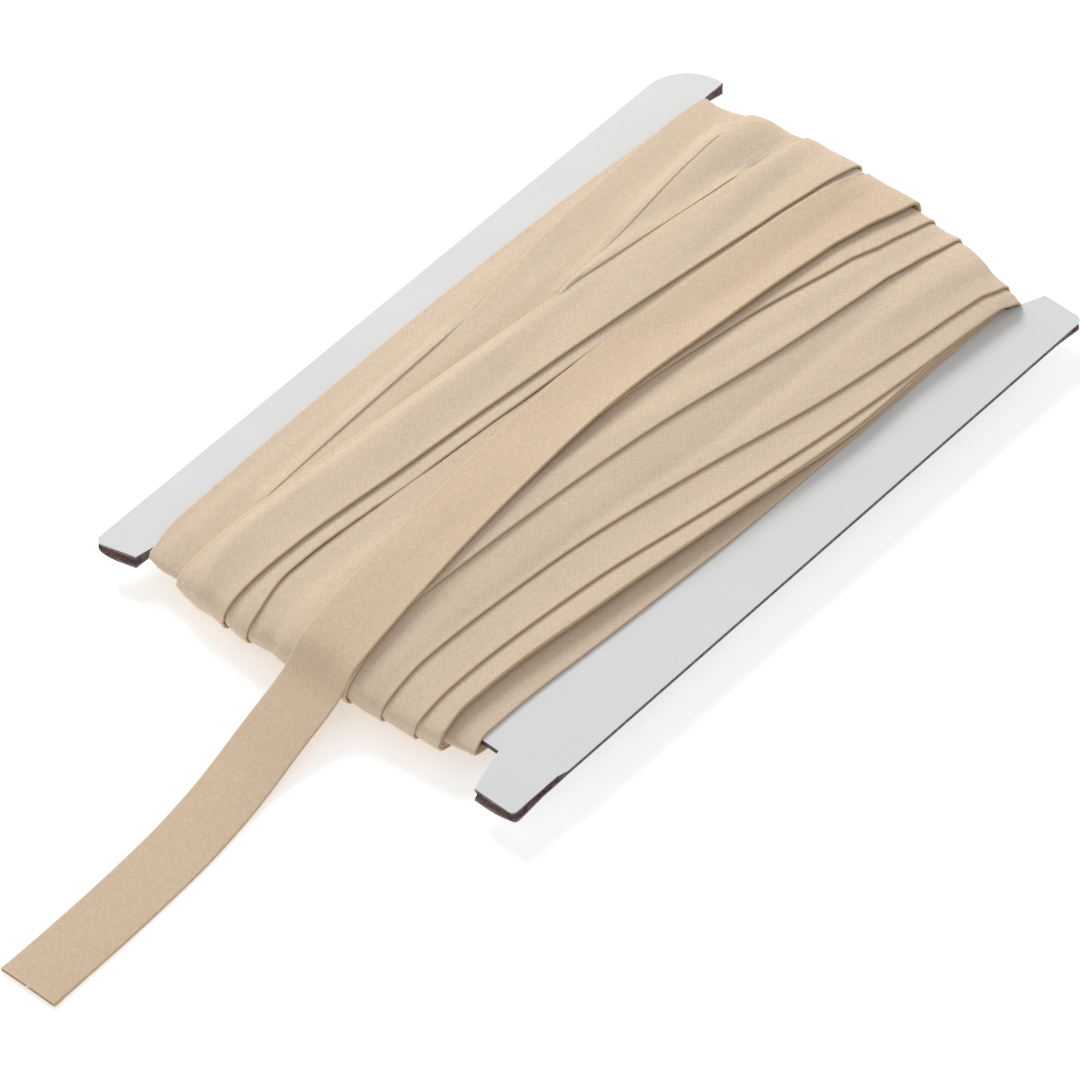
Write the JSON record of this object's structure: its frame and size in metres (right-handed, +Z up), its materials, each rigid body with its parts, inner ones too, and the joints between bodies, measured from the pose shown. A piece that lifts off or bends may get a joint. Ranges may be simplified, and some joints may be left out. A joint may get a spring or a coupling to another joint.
{
  "type": "roll of bias binding",
  "caption": "Single fold bias binding wound flat on a folded white card, its last run ending loose over one end.",
  "frame": {"origin": "middle of the card's web, on the surface that the wound binding lies on", "axes": "+X across the card, +Y along the winding away from the loose end, +Z up"},
  "size_m": [0.097, 0.2352, 0.0105],
  "materials": {
    "card": null,
    "binding": "plain woven cotton cut on the bias, pressed folds, matte",
    "loose_binding": "plain woven cotton cut on the bias, pressed folds, matte"
  },
  "bodies": {
    "root": {"card": "card", "wound_binding": "binding", "loose_end": "loose_binding"}
  },
  "joints": []
}
